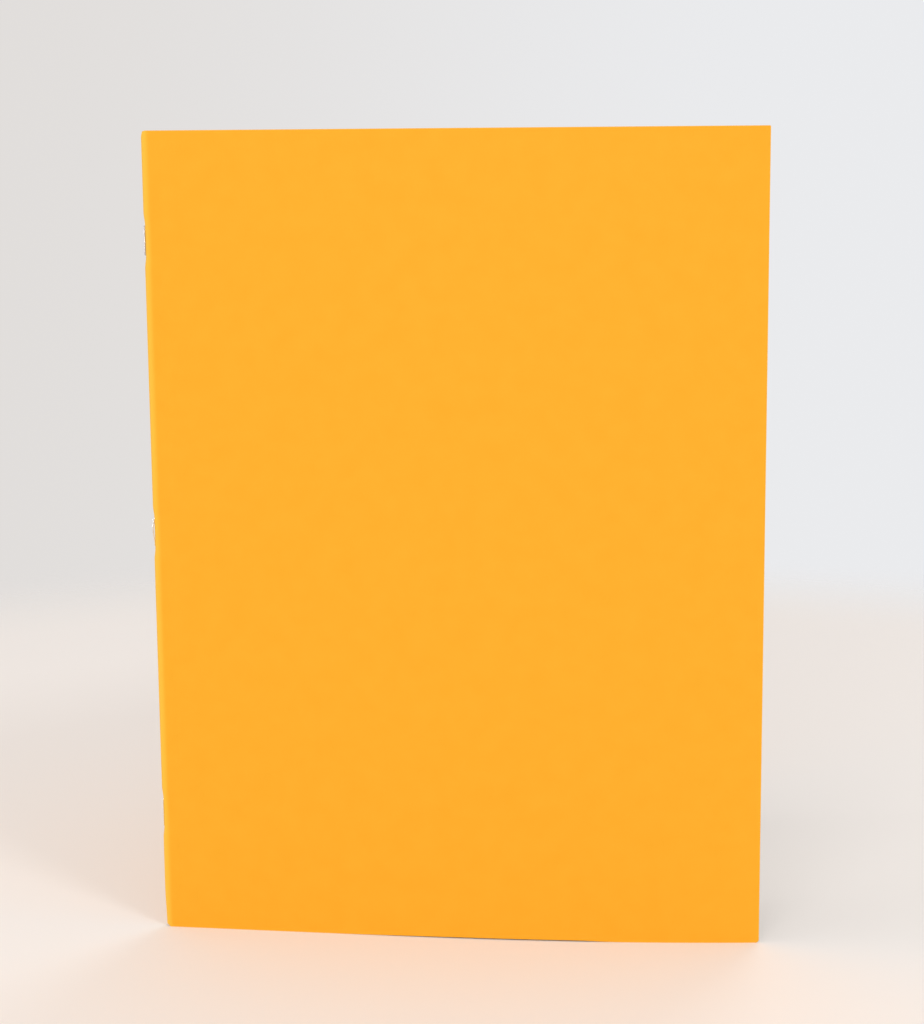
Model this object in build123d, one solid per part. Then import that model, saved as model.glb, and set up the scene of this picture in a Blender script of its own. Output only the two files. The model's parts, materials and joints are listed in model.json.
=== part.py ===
from build123d import *
import os
from math import atan2, cos, degrees, sin, sqrt

# Stapled exercise book, standing on its lower edges and opened to a V.
# Millimetres, +Z up. The fold runs along Z, the fore-edges point to +X, the front cover is on the -Y side.
# Every leaf and both covers turn about one line, the fold axis. Near it the book stays still:
# the rounded folds of the cover and the sheets, which the staples pierce, end on a cylinder round the axis.
# Outside that cylinder each half of a sheet is a flat leaf, and each half of the cover a board,
# in line with the ends of its own fold.

# Trimmed size of the closed book, from the outside of the fold to the fore-edge
BOOK_WIDTH = 240.0
BOOK_HEIGHT = 320.0

# Sheets and cover
SHEET_COUNT = 12
PAPER = 0.10
SHEET_GAP = 0.01
CARD = 0.28
CARD_GAP = 0.06

# Fold
FOLD_RADIUS = 0.45
FOLD_LEG = 1.20
TURN_CLEARANCE = 0.30

# Front cover: flat beside the fold, then a long bow towards the fore-edge
COVER_FLAT = 100.0
BOW_RADIUS = 1000.0

# Staples
STAPLE_WIRE = 0.60
STAPLE_CROWN = 12.0
STAPLE_CLINCH = 5.0
STAPLE_BEND = 0.40
STAPLE_SEAT = 0.10
HOLE_CLEARANCE = 0.05
SEAT_CLEARANCE = 0.03
STAPLE_TOP_MARGIN = 42.0
STAPLE_PITCH = 115.0
STAPLE_NAMES = ("staple_top", "staple_middle", "staple_bottom")

# Pose: how far each cover stands open from the closed book, and how the leaves spread between the covers
FRONT_OPENING = 20.0
BACK_OPENING = 20.0
FAN_SHARE = 0.55
FAN_POWER = 1.5

FRONT = -1
BACK = 1


def sheet_inner(sheet):
    """Inside radius of a sheet's fold, and how far its leaves lie from the axis. Sheet 1 is outermost."""
    return FOLD_RADIUS + (SHEET_COUNT - sheet) * (PAPER + SHEET_GAP)


COVER_INNER = sheet_inner(1) + PAPER + CARD_GAP
COVER_OUTER = COVER_INNER + CARD
FORE_EDGE = BOOK_WIDTH - COVER_OUTER
FOLD_REACH = COVER_OUTER + FOLD_LEG
LEAF_REACH = FOLD_REACH + TURN_CLEARANCE

# The bow turns the front cover in by this much. The flat part leans out to make up for it,
# so that the fore-edge comes down on the leaves when the book is closed.
BOW_TURN = (FORE_EDGE - COVER_FLAT) / BOW_RADIUS
BOW_LEAN = degrees(atan2(BOW_RADIUS * (1 - cos(BOW_TURN)), COVER_FLAT + BOW_RADIUS * sin(BOW_TURN)))


def fan_ratio(sheet):
    """Share of a cover's opening that the sheet's leaf on that side takes: near 1 beside the cover."""
    return 1.0 - FAN_SHARE * ((sheet - 0.5) / SHEET_COUNT) ** FAN_POWER


def leaf_start(inner):
    """Where a leaf at this distance from the axis begins, just outside the turning cylinder."""
    return sqrt(LEAF_REACH**2 - inner**2)


def staple_heights():
    """Height of each staple's middle, from the top one down."""
    first = BOOK_HEIGHT - STAPLE_TOP_MARGIN
    return [first - place * STAPLE_PITCH for place in range(len(STAPLE_NAMES))]


def leg_spread():
    """Distance from a staple's middle to the centre line of each leg."""
    return (STAPLE_CROWN - STAPLE_WIRE) / 2


def leg_holes():
    """Cutter for the small square slits that the staple legs pierce through the fold."""
    width = STAPLE_WIRE + 2 * HOLE_CLEARANCE
    slit = Box(FOLD_REACH, width, width, align=(Align.MAX, Align.CENTER, Align.CENTER))
    return [
        Pos(0, 0, height + end * leg_spread()) * slit for height in staple_heights() for end in (-1, 1)
    ]


def crown_line():
    """Distance of a crown's centre line from the fold axis: it beds a little into the card."""
    return COVER_OUTER + STAPLE_WIRE / 2 - STAPLE_SEAT


def crown_seats():
    """Cutter for the shallow grooves that the staple crowns press into the outside of the fold."""
    groove = Cylinder(STAPLE_WIRE / 2 + SEAT_CLEARANCE, STAPLE_CROWN + 2 * SEAT_CLEARANCE)
    return [Pos(-crown_line(), 0, height) * groove for height in staple_heights()]


def folded_edge(inner, thickness, front_opening, back_opening):
    """Rounded fold of a folded piece: part of a ring, a short leg towards each half, and staple slits."""
    outer = inner + thickness
    leg = sqrt(FOLD_REACH**2 - outer**2)
    first = 90 + back_opening
    sweep_angle = 180 - back_opening - front_opening
    rings = [CenterArc((0, 0), radius, first, sweep_angle) for radius in (inner, outer)]
    back_legs = [PolarLine(ring @ 0, leg, back_opening) for ring in rings]
    front_legs = [PolarLine(ring @ 1, leg, -front_opening) for ring in rings]
    ends = [Line(legs[0] @ 1, legs[1] @ 1) for legs in (back_legs, front_legs)]
    plan = make_face(rings + back_legs + front_legs + ends)
    return extrude(plan, BOOK_HEIGHT) - leg_holes()


def flat_half(inner, thickness, side, opening):
    """Flat half of a folded piece, from the turning cylinder to the fore-edge, turned open."""
    start = leaf_start(inner)
    near_face = Align.MIN if side == BACK else Align.MAX
    plate = Box(
        FORE_EDGE - start, thickness, BOOK_HEIGHT, align=(Align.MIN, near_face, Align.MIN)
    )
    return Rot(0, 0, side * opening) * Pos(start, side * inner, 0) * plate


def bowed_half(inner, thickness, side, opening):
    """Half of the cover with the bow: a flat run from the fold, then an arc towards the fore-edge."""
    outer = inner + thickness
    start = leaf_start(inner)
    turn = -degrees(BOW_TURN)
    along = Vector(1, 0)
    inner_bow = JernArc((COVER_FLAT, inner), along, BOW_RADIUS, turn)
    outer_bow = JernArc((COVER_FLAT, outer), along, BOW_RADIUS + thickness, turn)
    outline = [
        Line((start, outer), (start, inner)),
        Line((start, inner), (COVER_FLAT, inner)),
        inner_bow,
        Line(inner_bow @ 1, outer_bow @ 1),
        outer_bow,
        Line((COVER_FLAT, outer), (start, outer)),
    ]
    board = extrude(make_face(outline), BOOK_HEIGHT)
    if side == FRONT:
        board = mirror(board, Plane.XZ)
    return Rot(0, 0, side * (opening + BOW_LEAN)) * board


def staple(height):
    """Wire staple: crown outside the fold, two legs through it, both ends clinched inside the middle fold."""
    outside = -crown_line()
    inside = STAPLE_WIRE / 2 + SEAT_CLEARANCE - FOLD_RADIUS
    leg = leg_spread()
    tip = leg + STAPLE_WIRE / 2 - STAPLE_CLINCH
    corners = Polyline(
        (inside, 0, height - tip),
        (inside, 0, height - leg),
        (outside, 0, height - leg),
        (outside, 0, height + leg),
        (inside, 0, height + leg),
        (inside, 0, height + tip),
    )
    crown_ends = corners.vertices().sort_by(Axis.X)[:2]
    route = fillet(crown_ends, STAPLE_BEND)
    section = Plane(route @ 0, z_dir=route % 0) * Circle(STAPLE_WIRE / 2)
    return sweep(section, path=route, transition=Transition.RIGHT)


def book_pieces():
    """Every piece by name, round the fold axis."""
    spine = folded_edge(COVER_INNER, CARD, FRONT_OPENING + BOW_LEAN, BACK_OPENING) - crown_seats()
    pieces = {
        "spine_fold": spine,
        "front_cover": bowed_half(COVER_INNER, CARD, FRONT, FRONT_OPENING),
        "back_cover": flat_half(COVER_INNER, CARD, BACK, BACK_OPENING),
    }
    for sheet in range(1, SHEET_COUNT + 1):
        inner = sheet_inner(sheet)
        front = fan_ratio(sheet) * FRONT_OPENING
        back = fan_ratio(sheet) * BACK_OPENING
        pieces[f"sheet_fold_{sheet:02d}"] = folded_edge(inner, PAPER, front, back)
        pieces[f"front_leaf_{sheet:02d}"] = flat_half(inner, PAPER, FRONT, front)
        pieces[f"back_leaf_{sheet:02d}"] = flat_half(inner, PAPER, BACK, back)
    for name, height in zip(STAPLE_NAMES, staple_heights()):
        pieces[name] = staple(height)
    return pieces


# The origin is the middle of the footprint, on the surface that the book stands on.
PIECES = book_pieces()
FOOTPRINT = Compound(list(PIECES.values())).bounding_box().center()
FOLD_AXIS = (-FOOTPRINT.X, -FOOTPRINT.Y)

os.makedirs("parts", exist_ok=True)
for piece_name, piece in PIECES.items():
    export_step(Pos(*FOLD_AXIS, 0) * piece, f"parts/{piece_name}.step")
print(f"fold axis at x {FOLD_AXIS[0]:.4f}, y {FOLD_AXIS[1]:.4f}")
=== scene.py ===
import json
from math import atan2, cos, pi, radians, sin, sqrt, tau

import bpy
from mathutils import Matrix, Vector


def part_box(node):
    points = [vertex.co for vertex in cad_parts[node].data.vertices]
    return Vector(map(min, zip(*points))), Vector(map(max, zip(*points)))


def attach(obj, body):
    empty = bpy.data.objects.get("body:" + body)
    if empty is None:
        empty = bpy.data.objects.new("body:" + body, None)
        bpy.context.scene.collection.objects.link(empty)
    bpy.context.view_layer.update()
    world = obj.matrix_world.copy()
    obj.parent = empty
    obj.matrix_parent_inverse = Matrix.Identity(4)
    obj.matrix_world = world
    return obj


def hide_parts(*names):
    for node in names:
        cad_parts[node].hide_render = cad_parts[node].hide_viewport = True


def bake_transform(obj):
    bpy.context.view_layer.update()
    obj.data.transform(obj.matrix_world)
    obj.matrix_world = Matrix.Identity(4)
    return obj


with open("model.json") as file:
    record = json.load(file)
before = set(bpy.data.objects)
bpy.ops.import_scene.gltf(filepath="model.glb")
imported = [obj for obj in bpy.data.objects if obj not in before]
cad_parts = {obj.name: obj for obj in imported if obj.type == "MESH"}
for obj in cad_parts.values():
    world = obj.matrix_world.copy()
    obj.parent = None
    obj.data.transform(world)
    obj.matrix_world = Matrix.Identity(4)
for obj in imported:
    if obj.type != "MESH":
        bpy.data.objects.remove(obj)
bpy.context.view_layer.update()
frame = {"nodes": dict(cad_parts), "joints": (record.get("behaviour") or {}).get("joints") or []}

# Stapled exercise book, standing half open. Metres, +Z up along the fold, the front cover on the -Y side.
MM = 0.001
FRONT, BACK = -1, 1
SIDES = {"front": FRONT, "back": BACK}
STAPLES = ("staple_top", "staple_middle", "staple_bottom")
UP = Vector((0, 0, 1))

# Card, paper and wire. The staples are cut one after another from one wire.
CARD = 0.28 * MM
PAPER = 0.10 * MM
WIRE_RADIUS = 0.30 * MM
WIRE_BEND = 0.40 * MM
WIRE_CUT = 25.0 * MM
CLINCH = 5.0 * MM

# The middle staple's crown stands off the fold, furthest at this share of its length from below.
CROWN_BOW = {"staple_middle": 0.60 * MM}
CROWN_BOW_PEAK = 0.64

# The front cover is flat beside the fold and then bows. The leaves take a share of that bow:
# the first value beside the cover, the second in the middle of the book, a little uneven in between.
# A leaf's bow eases off towards its top edge.
BOW_START = 100.0 * MM
BOW_CURVATURE = 1.0
FRONT_BOW = (0.90, 0.30)
BACK_BOW = (-0.03, -0.26)
BOW_UNEVEN = 0.022
BOW_UNEVEN_STEP = 5.0
BOW_EASE = 0.25

# The crease: a narrow strip stays with the staples, and each half bends between it and CREASE_END.
CREASE_STRIP = radians(25)
CREASE_END = 7.0 * MM

# The fold swells a little between the staples and is pulled in under each of them.
SWELL = 0.45 * MM
SWELL_FADE = 6.0 * MM
SWELL_TOP_FADE = 2.5 * MM
SWELL_BOTTOM_FADE = 16.0 * MM
DENT_SHOULDER = 5.0 * MM

# Trim and wear. The pages' corners are rounder than the cover's, by the factor PAGE_CORNER.
COVER_CORNER_TOP = 0.5 * MM
COVER_CORNER_BOTTOM = 1.4 * MM
PAGE_CORNER = 1.2
PAGE_INSET = 0.30 * MM
FOLD_WEAR_TOP = 0.30 * MM
FOLD_WEAR_BOTTOM = 0.90 * MM

# The front cover's lower edge lifts off the floor along the first stretch and comes down along the second.
COVER_LIFT = 0.50 * MM
COVER_LIFT_RISE = (60.0 * MM, 125.0 * MM)
COVER_LIFT_FALL = (166.0 * MM, 182.0 * MM)

# Page ruling
RULE_PITCH = 8.0 * MM
RULE_WIDTH = 0.22 * MM
RULE_TOP = 30.0 * MM
RULE_BOTTOM = 14.0 * MM
MARGIN = 36.0 * MM
MARGIN_WIDTH = 1.3 * RULE_WIDTH

# Points of the meshes along each stretch, and the angles from which an edge is drawn sharp
COVER_ROWS = 41
COVER_TOP_ROWS = 7
COVER_BOTTOM_ROWS = 9
SHOULDER_ROWS = 7
ROW_DIGITS = 5
PAGE_ROWS = 9
COVER_STRIP_STEPS = 19
COVER_RING_STEPS = 16
PAGE_STRIP_STEPS = 9
PAGE_RING_STEPS = 9
CREASE_STEPS = 15
FLAT_STEPS = 10
BOW_STEPS = 17
CORNER_STEPS = 6
BEND_STEPS = 7
CROWN_STEPS = 25
WIRE_SIDES = 14
SHEET_SHARP = radians(40)
WIRE_SHARP = radians(50)

# Camera, placed from the fold axis, with its angles in radians
IMAGE_SIZE = (924, 1024)
SENSOR = 36.0
FOCAL_PIXELS = 2219.1
CAMERA_PLACE = Vector((-97.13, -868.50, 319.0)) * MM
CAMERA_YAW = -0.24877
CAMERA_PITCH = 0.17025
CAMERA_ROLL = -0.00837
VIEW_RIGHT = Vector((cos(CAMERA_YAW), sin(CAMERA_YAW), 0))
VIEW_AHEAD = Vector((-sin(CAMERA_YAW), cos(CAMERA_YAW), 0))

# Square lamps round the book: degrees from the camera towards the right, degrees up, metres, watts
LAMPS = {
    "key": {"azimuth": 38, "elevation": 46, "distance": 2.0, "size": 0.35, "power": 5.8},
    "fill": {"azimuth": -12, "elevation": 28, "distance": 1.6, "size": 0.90, "power": 6.1},
    "side": {"azimuth": -92, "elevation": 3, "distance": 1.6, "size": 0.25, "power": 3.0},
    "back": {"azimuth": 155, "elevation": 50, "distance": 1.8, "size": 0.60, "power": 3.4},
}
SKY_STRENGTH = 0.70

# Floor, and a backdrop that changes from left to right: painted light, darker and warmer on the left, lighter
# and bluer on the right
FLOOR_RADIUS = 1.5
FLOOR_SEGMENTS = 96
FLOOR_RINGS = 24
FLOOR_FADE = (0.56, 0.78)
FLOOR_COLOUR = (0.915, 0.858, 0.817)
FLOOR_CLOUD = (0.930, 0.869, 0.822)
FLOOR_ROUGHNESS = (0.82, 0.92)
BACKDROP_LEFT = (0.755, 0.730, 0.712)
BACKDROP_RIGHT = (0.825, 0.832, 0.850)
BACKDROP_CHANGE = (-0.22, 0.16)

# What the frame says of the fold and its pieces
JOINTS = {joint["child"]: joint for joint in frame["joints"]}
FOLD = Vector(JOINTS["front_cover"]["pos_m"])
SHEETS = sorted(name for name in frame["nodes"] if name.startswith("sheet_fold"))
STAPLE_BOXES = {node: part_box(node) for node in STAPLES}
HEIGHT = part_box("back_cover")[1].z


def rest_opening(body):
    """How far a leaf or cover stands open at rest, from its closed limit."""
    return -radians(JOINTS[body]["range_deg"][0])


def plan_distances(node):
    """Distances of a node's corners from the fold axis, seen from above."""
    return [(vertex.co.xy - FOLD.xy).length for vertex in frame["nodes"][node].data.vertices]


def fold_radius(node, thickness):
    """Radius of a fold to the middle of its card or paper."""
    return min(plan_distances(node)) + thickness / 2


COVER_RADIUS = fold_radius("spine_fold", CARD)
FORE_EDGE = sqrt(max(plan_distances("back_cover")) ** 2 - (COVER_RADIUS + CARD / 2) ** 2)


def smooth(value):
    """Smooth step from 0 to 1."""
    t = min(max(value, 0.0), 1.0)
    return t * t * (3 - 2 * t)


def smooth_between(value, low, high):
    """Smooth step from 0 at low to 1 at high."""
    return smooth((value - low) / (high - low))


def spread(first, last, count):
    """Evenly spaced values from first to last."""
    return [first + (last - first) * step / (count - 1) for step in range(count)]


def new_mesh(name, corners, faces):
    """A new mesh from its corners and faces."""
    mesh = bpy.data.meshes.new(name)
    mesh.from_pydata(corners, [], faces)
    return mesh


def new_object(name, data):
    """A new object in the scene."""
    thing = bpy.data.objects.new(name, data)
    bpy.context.scene.collection.objects.link(thing)
    return thing


# Plan of one half: a ring round the fold axis, a flat run, then the bow


def bow_lean(curvature):
    """Angle by which the flat run leans out, so that the bowed fore-edge comes back to the chord."""
    if curvature == 0:
        return 0.0
    turn = (FORE_EDGE - BOW_START) * curvature
    return atan2((1 - cos(turn)) / curvature, BOW_START + sin(turn) / curvature)


class Half:
    """Middle surface of one half of a folded piece, from the crease strip to the fore-edge."""

    def __init__(self, side, opening, radius, curvature=0.0, ease=0.0):
        self.side = side
        self.opening = opening
        self.radius = radius
        self.curvature = curvature
        self.ease = ease

    def bow(self, height):
        """Curvature at a height: a leaf's bow eases off towards its free top edge."""
        return self.curvature * (1 - self.ease * height / HEIGHT)

    def direction(self, height):
        """Angle of the flat run from the closed plane."""
        return self.opening + bow_lean(self.bow(height))

    def ring_turn(self, height):
        """Angle of the ring from the foot of the flat run to the crease strip."""
        return pi / 2 - self.direction(height) - CREASE_STRIP

    def turned(self, x, y, height):
        """A point or direction of the unturned half, turned open to its own side."""
        angle = self.direction(height)
        return Vector((x * cos(angle) - y * sin(angle), self.side * (x * sin(angle) + y * cos(angle)), 0))

    def at(self, station, height):
        """Place, outward normal and distance along the sheet. A station below 0 is a share of the ring."""
        if station < 0:
            angle = -station * self.ring_turn(height)
            across = (-sin(angle), cos(angle))
            place = (self.radius * across[0], self.radius * across[1])
            along = -self.radius * angle
        elif station <= BOW_START or self.bow(height) == 0:
            across = (0.0, 1.0)
            place = (station, self.radius)
            along = station
        else:
            bow = self.bow(height)
            turn = (station - BOW_START) * bow
            across = (sin(turn), cos(turn))
            place = (BOW_START + sin(turn) / bow, self.radius - (1 - cos(turn)) / bow)
            along = station
        return self.turned(*place, height), self.turned(*across, height), along

    def crease(self, thickness):
        """Two points along the run between which the half bends when it turns."""
        start = -(self.radius - thickness / 2) * sin(self.ring_turn(0))
        return [FOLD + self.turned(x, self.radius, 0) for x in (start, CREASE_END)]


class Strip:
    """Middle surface of the narrow crease strip that the staples hold, between the two halves."""

    def __init__(self, radius):
        self.radius = radius

    def at(self, station, height):
        """Place, outward normal and distance along the sheet, at a station from -1 (front) to 1 (back)."""
        angle = pi - station * CREASE_STRIP
        normal = Vector((cos(angle), sin(angle), 0))
        return normal * self.radius, normal, -self.radius


# Thin closed sheets


def sheet_object(name, surface, stations, rows, thickness, side, limits, lift=None, page=False):
    """Thin closed sheet over a middle surface. Its texture is laid out in metres along and up the sheet."""
    count = len(stations) * len(rows)
    outer_layer, inner_layer, layout = [], [], []
    for station in stations:
        low, high = limits(station)
        for row in rows:
            height = low + (high - low) * row
            place, normal, along = surface.at(station, height)
            rise = lift(along, height) if lift else 0.0
            base = FOLD + place + normal * rise + Vector((0, 0, height))
            outer_layer.append(base + normal * thickness / 2)
            inner_layer.append(base - normal * thickness / 2)
            layout.append((along, height))
    faces, inner_from, edge_from = sheet_faces(len(stations), len(rows))
    if side == FRONT:
        faces = [face[::-1] for face in faces]
    mesh = new_mesh(name, outer_layer + inner_layer, faces)
    uv = mesh.uv_layers.new(name="sheet")
    for polygon in mesh.polygons:
        polygon.use_smooth = True
        polygon.material_index = int(polygon.index >= edge_from)
        outer = polygon.index < inner_from
        from_fold = not page or outer == (side == FRONT)
        for loop in polygon.loop_indices:
            along, height = layout[mesh.loops[loop].vertex_index % count]
            uv.data[loop].uv = (along if from_fold else FORE_EDGE - along, height)
    mesh.set_sharp_from_angle(angle=SHEET_SHARP)
    return new_object(name, mesh)


def sheet_faces(columns, rows):
    """Faces of a closed sheet on a grid: outer layer, inner layer, then its four edges."""

    def outer(i, j):
        return i * rows + j

    def inner(i, j):
        return columns * rows + outer(i, j)

    faces = []
    cells = [(i, j) for i in range(columns - 1) for j in range(rows - 1)]
    faces += [[outer(i, j), outer(i, j + 1), outer(i + 1, j + 1), outer(i + 1, j)] for i, j in cells]
    inner_from = len(faces)
    faces += [[inner(i, j), inner(i + 1, j), inner(i + 1, j + 1), inner(i, j + 1)] for i, j in cells]
    edge_from = len(faces)
    top, end = rows - 1, columns - 1
    for i in range(columns - 1):
        faces.append([outer(i, 0), outer(i + 1, 0), inner(i + 1, 0), inner(i, 0)])
        faces.append([outer(i + 1, top), outer(i, top), inner(i, top), inner(i + 1, top)])
    for j in range(rows - 1):
        faces.append([outer(0, j + 1), outer(0, j), inner(0, j), inner(0, j + 1)])
        faces.append([outer(end, j), outer(end, j + 1), inner(end, j + 1), inner(end, j)])
    return faces, inner_from, edge_from


def corner_rise(station, radius, end):
    """How far a rounded corner of the trim lies in from the top or bottom edge."""
    inside = station - (end - radius)
    if inside <= 0:
        return 0.0
    return radius - sqrt(max(radius**2 - inside**2, 0.0))


def fold_wear(station):
    """Share of the wear at the ends of the fold: all of it at the crease strip, none at the flat run."""
    return smooth(-station)


def strip_limits(inset, wear):
    """Lowest and highest point of a crease strip, with its inset from the trim and its share of the wear."""
    return lambda station: (inset + wear * FOLD_WEAR_BOTTOM, HEIGHT - inset - wear * FOLD_WEAR_TOP)


def cover_limits(station):
    """Lowest and highest point of a cover at a station, with its worn corners."""
    low = corner_rise(station, COVER_CORNER_BOTTOM, FORE_EDGE) + FOLD_WEAR_BOTTOM * fold_wear(station)
    high = corner_rise(station, COVER_CORNER_TOP, FORE_EDGE) + FOLD_WEAR_TOP * fold_wear(station)
    return low, HEIGHT - high


def front_limits(station):
    """The front cover's lower edge also lifts a little off the floor in the middle of its bow."""
    low, high = cover_limits(station)
    lifted = smooth_between(station, *COVER_LIFT_RISE) - smooth_between(station, *COVER_LIFT_FALL)
    return low + COVER_LIFT * lifted, high


def page_limits(wear):
    """Lowest and highest point of a leaf at a station, with this share of the fold's wear."""
    end = FORE_EDGE - PAGE_INSET

    def limits(station):
        worn = wear * fold_wear(station)
        low = corner_rise(station, PAGE_CORNER * COVER_CORNER_BOTTOM, end) + FOLD_WEAR_BOTTOM * worn
        high = corner_rise(station, PAGE_CORNER * COVER_CORNER_TOP, end) + FOLD_WEAR_TOP * worn
        return PAGE_INSET + low, HEIGHT - PAGE_INSET - high

    return limits


def fold_swell(along, height):
    """How far the fold of the cover stands out: less under a staple, less at the ends, none on the boards."""
    share = 1.0
    for low, high in STAPLE_BOXES.values():
        gap = max(low.z - height, height - high.z)
        share = min(share, smooth(gap / DENT_SHOULDER))
    share *= smooth(height / SWELL_BOTTOM_FADE) * smooth((HEIGHT - height) / SWELL_TOP_FADE)
    return SWELL * share * (1 - smooth(along / SWELL_FADE))


def cover_rows():
    """Heights of the cover's mesh rows as shares: close together at the ends and round the staples."""
    heights = spread(0, HEIGHT, COVER_ROWS)
    heights += spread(0, SWELL_BOTTOM_FADE, COVER_BOTTOM_ROWS)
    heights += spread(HEIGHT - SWELL_TOP_FADE, HEIGHT, COVER_TOP_ROWS)
    for low, high in STAPLE_BOXES.values():
        heights += spread(low.z - DENT_SHOULDER, low.z, SHOULDER_ROWS)
        heights += spread(high.z, high.z + DENT_SHOULDER, SHOULDER_ROWS)
    return sorted({round(height / HEIGHT, ROW_DIGITS) for height in heights})


def half_stations(ring_steps, end, corner):
    """Stations of a half: the ring, the crease, the flat run, the bow and the rounded corners."""
    stations = spread(-1, 0, ring_steps)[:-1]
    stations += spread(0, CREASE_END, CREASE_STEPS)[:-1]
    stations += spread(CREASE_END, BOW_START, FLAT_STEPS)[:-1]
    stations += spread(BOW_START, end - corner, BOW_STEPS)[:-1]
    return stations + [end - corner * (1 - sin(angle)) for angle in spread(0, pi / 2, CORNER_STEPS)]


# Node trees


class Nodes:
    """Short hand for building one node tree."""

    def __init__(self, tree):
        self.tree = tree
        tree.nodes.clear()

    def put(self, socket, value):
        """Links an output to a socket, or sets the socket's own value."""
        if isinstance(value, bpy.types.NodeSocket):
            self.tree.links.new(value, socket)
        else:
            socket.default_value = value

    def add(self, kind, inputs=None, **settings):
        """A new node of this kind, with its settings made and its inputs filled."""
        node = self.tree.nodes.new("ShaderNode" + kind)
        for name, value in settings.items():
            setattr(node, name, value)
        for name, value in (inputs or {}).items():
            self.put(node.inputs[name], value)
        return node

    def math(self, operation, *values):
        return self.add("Math", dict(enumerate(values)), operation=operation).outputs[0]

    def weighted(self, first, second, share):
        """Mean of two values, with this share of the second."""
        first_part = self.math("MULTIPLY", first, 1 - share)
        second_part = self.math("MULTIPLY", second, share)
        return self.math("ADD", first_part, second_part)

    def ramp(self, value, low, high, start=0.0, end=1.0):
        """Smooth change from start to end as the value goes from low to high."""
        inputs = {"Value": value, "From Min": low, "From Max": high, "To Min": start, "To Max": end}
        return self.add("MapRange", inputs, interpolation_type="SMOOTHSTEP").outputs[0]

    def mix(self, share, first, second):
        node = self.add("Mix", data_type="RGBA")
        sockets = [s for s in node.inputs if s.enabled]
        for socket, value in zip(sockets, (share, first, second)):
            self.put(socket, value)
        return next(s for s in node.outputs if s.enabled)

    def noise(self, vector, scale, detail, roughness):
        inputs = {"Vector": vector, "Scale": scale, "Detail": detail, "Roughness": roughness}
        return self.add("TexNoise", inputs).outputs[0]

    def bump(self, height, strength, distance):
        inputs = {"Height": height, "Strength": strength, "Distance": distance}
        return self.add("Bump", inputs).outputs[0]

    def stretched(self, vector, scale):
        return self.add("VectorMath", {0: vector, 1: scale}, operation="MULTIPLY").outputs[0]

    def show(self, output, shader):
        """Ends the tree in an output node of this kind."""
        self.add(output, {"Surface": shader.outputs[0]})


def opaque(colour):
    return (*colour, 1.0)


# Materials. Noise is scaled to millimetres, and most of it lies within NOISE_RANGE.

NOISE_RANGE = (0.3, 0.7)


def shaded(name, build):
    """A material whose shader sockets are filled by the build function."""
    material = bpy.data.materials.new(name)
    material.use_nodes = True
    nodes = Nodes(material.node_tree)
    nodes.show("OutputMaterial", nodes.add("BsdfPrincipled", build(nodes)))
    return material


def sheet_coordinates(nodes):
    """Distance along and up a sheet in metres, and the same as a vector in millimetres."""
    uv = nodes.add("UVMap", uv_map="sheet").outputs[0]
    parts = nodes.add("SeparateXYZ", {0: uv}).outputs
    return parts[0], parts[1], nodes.stretched(uv, (1 / MM, 1 / MM, 1 / MM))


ORANGE_DEEP = (0.940, 0.412, 0.016)
ORANGE_LIGHT = (0.968, 0.440, 0.022)
# The paler round fold is partly crease whitening and partly painted highlight where the fold catches light.
ORANGE_PALE_CREASE_AND_SHEEN = (0.970, 0.540, 0.048)
ORANGE_WORN = (0.975, 0.590, 0.150)
ORANGE_CUT = (0.960, 0.560, 0.140)
CARD_FIBRE_STRETCH = (1.0, 2.6, 1.0)
CARD_FIBRE_SHARE = 0.65
CARD_GRAIN_RELIEF = 0.6
CARD_TONE_RANGE = (0.32, 0.68)
CARD_ROUGHNESS = (0.58, 0.72)
CUT_ROUGHNESS = (0.72, 0.86)
CREASE_PALE_AND_SHEEN_RUN = (-1.0 * MM, 1.3 * MM)
CREASE_PALE_AND_SHEEN_SHARE = 0.9
RUBBED_WIDTH = 0.45 * MM
RUBBED_SHARE = 0.7


def cover_card(nodes):
    """Matt dyed card: cloudy tone, short fibres, a paler round fold that is partly crease whitening and
    partly painted highlight where the fold catches light, and slightly rubbed edges.
    """
    along, up, place = sheet_coordinates(nodes)
    cloud = nodes.noise(place, scale=0.11, detail=3.0, roughness=0.55)
    fibre = nodes.noise(nodes.stretched(place, CARD_FIBRE_STRETCH), scale=1.9, detail=4.0, roughness=0.7)
    grain = nodes.noise(place, scale=7.0, detail=2.0, roughness=0.6)
    tone = nodes.weighted(cloud, fibre, CARD_FIBRE_SHARE)
    colour = nodes.mix(nodes.ramp(tone, *CARD_TONE_RANGE), opaque(ORANGE_DEEP), opaque(ORANGE_LIGHT))
    # Paler round fold: partly crease whitening, partly painted highlight for the light the round fold
    # catches.
    crease = nodes.ramp(along, *CREASE_PALE_AND_SHEEN_RUN, start=CREASE_PALE_AND_SHEEN_SHARE, end=0.0)
    colour = nodes.mix(crease, colour, opaque(ORANGE_PALE_CREASE_AND_SHEEN))
    to_top = nodes.math("SUBTRACT", HEIGHT, up)
    to_side = nodes.math("SUBTRACT", FORE_EDGE, along)
    to_trim = nodes.math("MINIMUM", nodes.math("MINIMUM", up, to_top), to_side)
    at_trim = nodes.ramp(to_trim, 0.0, RUBBED_WIDTH, start=1.0, end=0.0)
    rubbed = nodes.math("MULTIPLY", at_trim, nodes.ramp(fibre, *NOISE_RANGE))
    colour = nodes.mix(nodes.math("MULTIPLY", rubbed, RUBBED_SHARE), colour, opaque(ORANGE_WORN))
    relief = nodes.math("ADD", fibre, nodes.math("MULTIPLY", grain, CARD_GRAIN_RELIEF))
    both = nodes.math("ADD", fibre, grain)
    return {
        "Base Color": colour,
        "Roughness": nodes.ramp(both, *[2 * value for value in NOISE_RANGE], *CARD_ROUGHNESS),
        "Specular IOR Level": 0.2,
        "Normal": nodes.bump(relief, strength=0.22, distance=0.035 * MM),
    }


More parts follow.
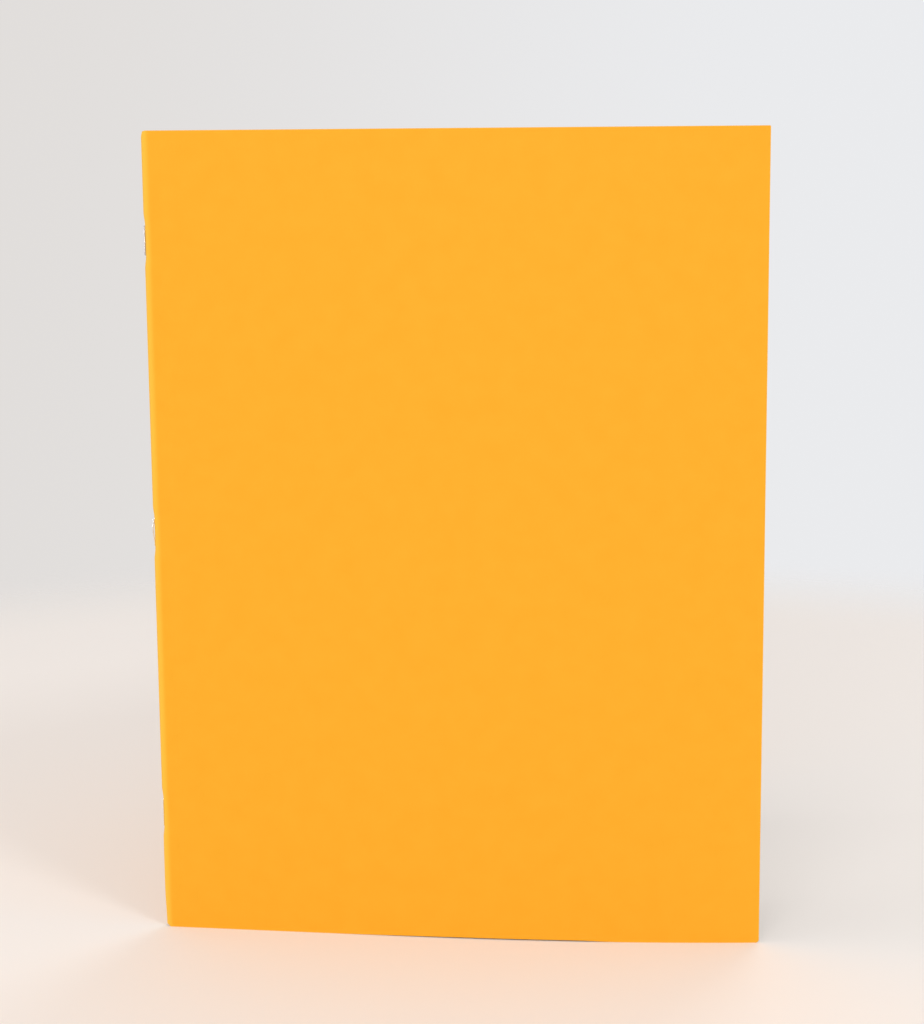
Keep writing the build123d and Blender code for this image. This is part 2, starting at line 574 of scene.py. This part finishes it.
def cut_card(nodes):
    """Cut edge of the card: paler, fibrous and dull."""
    place = sheet_coordinates(nodes)[-1]
    fibre = nodes.noise(place, scale=3.5, detail=3.0, roughness=0.7)
    return {
        "Base Color": nodes.mix(fibre, opaque(ORANGE_LIGHT), opaque(ORANGE_CUT)),
        "Roughness": nodes.ramp(fibre, *NOISE_RANGE, *CUT_ROUGHNESS),
        "Specular IOR Level": 0.25,
        "Normal": nodes.bump(fibre, strength=0.35, distance=0.04 * MM),
    }


PAPER_SHADE = (0.860, 0.849, 0.816)
PAPER_LIGHT = (0.905, 0.894, 0.861)
PAPER_FIBRE_STRETCH = (1.0, 2.2, 1.0)
PAPER_FIBRE_SHARE = 0.4
PAPER_ROUGHNESS = (0.74, 0.86)
RULE_BLUE = (0.420, 0.560, 0.720)
MARGIN_PINK = (0.820, 0.370, 0.400)
INK_RANGE = (0.25, 0.60)
INK_SHARE = (0.55, 0.85)
INK_EDGE = (0.35, 0.65)


def line_share(nodes, distance, width):
    """Share of ink at a distance from a printed line's middle."""
    return nodes.ramp(distance, *[share * width for share in INK_EDGE], start=1.0, end=0.0)


def page_paper(nodes):
    """Writing paper: faintly cloudy, with feint rules and a margin line."""
    along, up, place = sheet_coordinates(nodes)
    cloud = nodes.noise(place, scale=0.16, detail=3.0, roughness=0.6)
    fibre = nodes.noise(nodes.stretched(place, PAPER_FIBRE_STRETCH), scale=2.6, detail=4.0, roughness=0.7)
    tone = nodes.weighted(cloud, fibre, PAPER_FIBRE_SHARE)
    colour = nodes.mix(nodes.ramp(tone, *NOISE_RANGE), opaque(PAPER_SHADE), opaque(PAPER_LIGHT))
    # Rules: height above the top one in pitches, folded at half a pitch to the distance from the nearest rule
    pitches = nodes.math("DIVIDE", nodes.math("SUBTRACT", up, HEIGHT - RULE_TOP), RULE_PITCH)
    beside = nodes.math("MULTIPLY", nodes.math("PINGPONG", pitches, 0.5), RULE_PITCH)
    above_bottom = nodes.math("GREATER_THAN", up, RULE_BOTTOM)
    below_top = nodes.math("LESS_THAN", up, HEIGHT - RULE_TOP + RULE_WIDTH)
    inside = nodes.math("MULTIPLY", above_bottom, below_top)
    ink = nodes.ramp(fibre, *INK_RANGE, *INK_SHARE)
    rules = nodes.math("MULTIPLY", line_share(nodes, beside, RULE_WIDTH), nodes.math("MULTIPLY", inside, ink))
    colour = nodes.mix(rules, colour, opaque(RULE_BLUE))
    from_margin = nodes.math("ABSOLUTE", nodes.math("SUBTRACT", along, MARGIN))
    margin = nodes.math("MULTIPLY", line_share(nodes, from_margin, MARGIN_WIDTH), ink)
    colour = nodes.mix(margin, colour, opaque(MARGIN_PINK))
    return {
        "Base Color": colour,
        "Roughness": nodes.ramp(fibre, *NOISE_RANGE, *PAPER_ROUGHNESS),
        "Specular IOR Level": 0.3,
        "Normal": nodes.bump(fibre, strength=0.18, distance=0.02 * MM),
    }


STEEL_DARK = (0.560, 0.490, 0.440)
STEEL_LIGHT = (0.960, 0.945, 0.900)
STEEL_STREAK_STRETCH = (0.25, 9.0, 1.0)
STEEL_CLOUD_SHARE = 0.2
STEEL_ROUGHNESS = (0.14, 0.30)
DARK_WIRE_END = 24.0 * MM
DARK_WIRE_FADE = 2.0 * MM


def staple_wire(nodes):
    """Drawn steel wire: fine streaks along it, and a darker, warmer colour on the length that made the top
    staple.
    """
    along, _, place = sheet_coordinates(nodes)
    streak = nodes.noise(nodes.stretched(place, STEEL_STREAK_STRETCH), scale=1.0, detail=4.0, roughness=0.65)
    cloud = nodes.noise(place, scale=0.35, detail=2.0, roughness=0.5)
    # The length that made the top staple is darker and warmer.
    edge = nodes.math("ADD", along, nodes.math("MULTIPLY", cloud, DARK_WIRE_FADE))
    beyond_dark_wire = nodes.ramp(edge, DARK_WIRE_END, DARK_WIRE_END + DARK_WIRE_FADE)
    shine = nodes.weighted(beyond_dark_wire, cloud, STEEL_CLOUD_SHARE)
    return {
        "Base Color": nodes.mix(shine, opaque(STEEL_DARK), opaque(STEEL_LIGHT)),
        "Metallic": 1.0,
        "Roughness": nodes.ramp(streak, *NOISE_RANGE, *STEEL_ROUGHNESS),
        "Normal": nodes.bump(streak, strength=0.25, distance=0.01 * MM),
    }


COVER_CARD = shaded("cover_card", cover_card)
CUT_CARD = shaded("cut_card", cut_card)
PAGE_PAPER = shaded("page_paper", page_paper)
STAPLE_WIRE = shaded("staple_wire", staple_wire)


def finish_piece(piece, materials, node):
    """Gives a piece its materials and hides the node it stands for."""
    for material in materials:
        piece.data.materials.append(material)
    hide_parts(node)


# Cover: the crease strip rides with the staples, and each board bends away from it


def make_cover():
    """The cover's crease strip and its two boards."""
    rows = cover_rows()
    card = (COVER_CARD, CUT_CARD)
    fold = Strip(COVER_RADIUS)
    stations = spread(-1, 1, COVER_STRIP_STEPS)
    limits = strip_limits(inset=0.0, wear=1.0)
    strip = sheet_object("spine_card", fold, stations, rows, CARD, BACK, limits, lift=fold_swell)
    finish_piece(strip, card, "spine_fold")
    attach(strip, "spine")
    for name, side in SIDES.items():
        body = f"{name}_cover"
        curvature = BOW_CURVATURE if side == FRONT else 0.0
        half = Half(side, rest_opening(body), COVER_RADIUS, curvature)
        stations = half_stations(COVER_RING_STEPS, FORE_EDGE, COVER_CORNER_BOTTOM)
        limits = front_limits if side == FRONT else cover_limits
        board = sheet_object(f"{name}_card", half, stations, rows, CARD, side, limits, lift=fold_swell)
        finish_piece(board, card, body)
        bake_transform(board)


# Sheets: a crease strip and two leaves each. The ends of the fold are worn less on the inner sheets.


def bow_share(side, index):
    """A leaf's share of the cover's bow, a little uneven from leaf to leaf."""
    first, last = FRONT_BOW if side == FRONT else BACK_BOW
    step = index / (len(SHEETS) - 1)
    return first + (last - first) * step + BOW_UNEVEN * sin(BOW_UNEVEN_STEP * index) * sin(pi * step)


def make_sheets():
    """The crease strip and the two leaves of each sheet."""
    rows = spread(0, 1, PAGE_ROWS)
    paper = (PAGE_PAPER, PAGE_PAPER)
    strip_stations = spread(-1, 1, PAGE_STRIP_STEPS)
    stations = half_stations(PAGE_RING_STEPS, FORE_EDGE - PAGE_INSET, PAGE_CORNER * COVER_CORNER_BOTTOM)
    for index, fold in enumerate(SHEETS):
        number = fold[-2:]
        radius = fold_radius(fold, PAPER)
        wear = 1 - (index + 1) / len(SHEETS)
        limits = strip_limits(PAGE_INSET, wear)
        crease = f"sheet_crease_{number}"
        strip = sheet_object(crease, Strip(radius), strip_stations, rows, PAPER, BACK, limits, page=True)
        finish_piece(strip, paper, fold)
        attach(strip, "spine")
        for name, side in SIDES.items():
            body = f"{name}_leaf_{number}"
            half = Half(side, rest_opening(body), radius, BOW_CURVATURE * bow_share(side, index), BOW_EASE)
            page = f"{name}_page_{number}"
            leaf = sheet_object(page, half, stations, rows, PAPER, side, page_limits(wear), page=True)
            finish_piece(leaf, paper, body)
            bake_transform(leaf)


# Staples: round wire with bent corners and clinched ends


def rounded_route(corners, radius):
    """Points along a line through the corners, with each inner corner bent to the radius."""
    points = [corners[0]]
    for before, corner, after in zip(corners, corners[1:], corners[2:]):
        back, ahead = (before - corner).normalized(), (after - corner).normalized()
        centre = corner + (back + ahead) * radius
        for angle in spread(0, pi / 2, BEND_STEPS):
            points.append(centre - ahead * radius * cos(angle) - back * radius * sin(angle))
    return points + [corners[-1]]


def bowed_crown(low, high, bow):
    """Points between the ends of a crown that stands off the fold, furthest above its middle."""
    points = []
    for share in spread(0, 1, CROWN_STEPS)[1:-1]:
        off = bow * (smooth_between(share, 0, CROWN_BOW_PEAK) - smooth_between(share, CROWN_BOW_PEAK, 1))
        points.append(low.lerp(high, share) - Vector((off, 0, 0)))
    return points


def wire_object(name, points, radius, travelled):
    """Round wire along points in one upright plane. Its texture starts at the length already travelled."""
    across = Vector((0, 1, 0))
    corners, layout = [], []
    last = len(points) - 1
    for index, point in enumerate(points):
        along = (points[min(index + 1, last)] - points[max(index - 1, 0)]).normalized()
        out = along.cross(across)
        travelled += (point - points[max(index - 1, 0)]).length
        for turn in range(WIRE_SIDES):
            angle = tau * turn / WIRE_SIDES
            corners.append(point + (across * cos(angle) + out * sin(angle)) * radius)
            layout.append((travelled, radius * angle))
    faces = [list(range(WIRE_SIDES))[::-1], list(range(last * WIRE_SIDES, (last + 1) * WIRE_SIDES))]
    for ring in range(last):
        for turn in range(WIRE_SIDES):
            a, b = ring * WIRE_SIDES + turn, ring * WIRE_SIDES + (turn + 1) % WIRE_SIDES
            faces.append([a, b, b + WIRE_SIDES, a + WIRE_SIDES])
    mesh = new_mesh(name, corners, faces)
    uv = mesh.uv_layers.new(name="sheet")
    for polygon in mesh.polygons:
        polygon.use_smooth = True
        for loop in polygon.loop_indices:
            uv.data[loop].uv = layout[mesh.loops[loop].vertex_index]
    mesh.set_sharp_from_angle(angle=WIRE_SHARP)
    return new_object(name, mesh)


def make_staples():
    """The wire of each staple, laid out in the box of its node."""
    for number, (node, (low, high)) in enumerate(STAPLE_BOXES.items()):
        middle = (low.z + high.z) / 2
        leg = (high.z - low.z) / 2 - WIRE_RADIUS
        tip = leg + WIRE_RADIUS - CLINCH
        outside, inside = low.x + WIRE_RADIUS, high.x - WIRE_RADIUS
        lower = [(inside, -tip), (inside, -leg), (outside, -leg)]
        upper = [(outside, leg), (inside, leg), (inside, tip)]
        corners = [Vector((x, FOLD.y, middle + z)) for x, z in lower + upper]
        route = rounded_route(corners, WIRE_BEND)
        if node in CROWN_BOW:
            half = len(route) // 2
            route[half:half] = bowed_crown(route[half - 1], route[half], CROWN_BOW[node])
        wire = wire_object(node + "_wire", route, WIRE_RADIUS, number * WIRE_CUT)
        finish_piece(wire, (STAPLE_WIRE,), node)
        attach(wire, "spine")


# Stage: floor, light and camera


def floor_material():
    """Pale matt floor that fades out into the backdrop."""
    material = bpy.data.materials.new("floor")
    material.use_nodes = True
    nodes = Nodes(material.node_tree)
    place = nodes.add("TexCoord").outputs["Object"]
    cloud = nodes.noise(place, scale=3.0, detail=2.0, roughness=0.5)
    shader = nodes.add("BsdfPrincipled", {
        "Base Color": nodes.mix(cloud, opaque(FLOOR_COLOUR), opaque(FLOOR_CLOUD)),
        "Roughness": nodes.ramp(cloud, *NOISE_RANGE, *FLOOR_ROUGHNESS),
        "Specular IOR Level": 0.2,
    })
    distance = nodes.add("VectorMath", {0: place}, operation="LENGTH").outputs["Value"]
    shown = nodes.ramp(distance, *FLOOR_FADE, start=1.0, end=0.0)
    clear = nodes.add("BsdfTransparent")
    mixed = nodes.add("MixShader", {0: shown, 1: clear.outputs[0], 2: shader.outputs[0]})
    nodes.show("OutputMaterial", mixed)
    return material


def make_floor():
    """Round floor, as rings of faces about its middle."""
    corners = [Vector((0, 0, 0))]
    for ring in range(1, FLOOR_RINGS + 1):
        for turn in range(FLOOR_SEGMENTS):
            angle = tau * turn / FLOOR_SEGMENTS
            corners.append(Vector((cos(angle), sin(angle), 0)) * FLOOR_RADIUS * ring / FLOOR_RINGS)
    faces = [[0, 1 + turn, 1 + (turn + 1) % FLOOR_SEGMENTS] for turn in range(FLOOR_SEGMENTS)]
    for ring in range(FLOOR_RINGS - 1):
        first = 1 + ring * FLOOR_SEGMENTS
        for turn in range(FLOOR_SEGMENTS):
            a, b = first + turn, first + (turn + 1) % FLOOR_SEGMENTS
            faces.append([a, a + FLOOR_SEGMENTS, b + FLOOR_SEGMENTS, b])
    floor = new_object("floor", new_mesh("floor", corners, faces))
    floor.data.materials.append(floor_material())


def make_world():
    """White studio light from all round, seen as a pale backdrop with painted light, darker on the left and
    lighter on the right.
    """
    world = bpy.data.worlds.new("studio")
    bpy.context.scene.world = world
    world.use_nodes = True
    nodes = Nodes(world.node_tree)
    toward = nodes.add("TexCoord").outputs["Generated"]
    aside = nodes.add("VectorMath", {0: toward, 1: VIEW_RIGHT}, operation="DOT_PRODUCT").outputs["Value"]
    # Painted light across the backdrop: darker and warmer on the left, lighter and bluer on the right.
    pale = nodes.mix(nodes.ramp(aside, *BACKDROP_CHANGE), opaque(BACKDROP_LEFT), opaque(BACKDROP_RIGHT))
    backdrop = nodes.add("Background", {"Color": pale, "Strength": 1.0})
    light = nodes.add("Background", {"Color": (1.0, 1.0, 1.0, 1.0), "Strength": SKY_STRENGTH})
    path = nodes.add("LightPath").outputs
    mirrored = nodes.math("MAXIMUM", path["Is Glossy Ray"], path["Is Transmission Ray"])
    seen = nodes.math("MAXIMUM", path["Is Camera Ray"], mirrored)
    nodes.show("OutputWorld", nodes.add("MixShader", {0: seen, 1: light.outputs[0], 2: backdrop.outputs[0]}))


def make_lamp(name, azimuth, elevation, distance, size, power):
    """Square lamp that faces the middle of the book."""
    aim = FOLD + UP * HEIGHT / 2 + VIEW_RIGHT * FORE_EDGE / 2
    flat = VIEW_RIGHT * sin(radians(azimuth)) - VIEW_AHEAD * cos(radians(azimuth))
    toward = flat * cos(radians(elevation)) + UP * sin(radians(elevation))
    data = bpy.data.lights.new(name, "AREA")
    data.shape = "SQUARE"
    data.size = size
    data.energy = power
    lamp = new_object(name, data)
    lamp.location = aim + toward * distance
    lamp.rotation_euler = toward.to_track_quat("Z", "Y").to_euler()


def make_camera():
    """Camera at the photograph's viewing angle."""
    data = bpy.data.cameras.new("camera")
    data.sensor_width = SENSOR
    data.lens = FOCAL_PIXELS * SENSOR / max(IMAGE_SIZE)
    ahead = VIEW_AHEAD * cos(CAMERA_PITCH) - UP * sin(CAMERA_PITCH)
    level_down = -VIEW_AHEAD * sin(CAMERA_PITCH) - UP * cos(CAMERA_PITCH)
    right = VIEW_RIGHT * cos(CAMERA_ROLL) - level_down * sin(CAMERA_ROLL)
    down = VIEW_RIGHT * sin(CAMERA_ROLL) + level_down * cos(CAMERA_ROLL)
    axes = Matrix((right, -down, -ahead)).transposed().to_4x4()
    camera = new_object("camera", data)
    camera.matrix_world = Matrix.Translation(FOLD + CAMERA_PLACE) @ axes
    bpy.context.scene.camera = camera


make_cover()
make_sheets()
make_staples()
make_floor()
make_world()
for lamp_name, lamp_values in LAMPS.items():
    make_lamp(lamp_name, **lamp_values)
make_camera()
bpy.context.scene.view_settings.view_transform = "Standard"
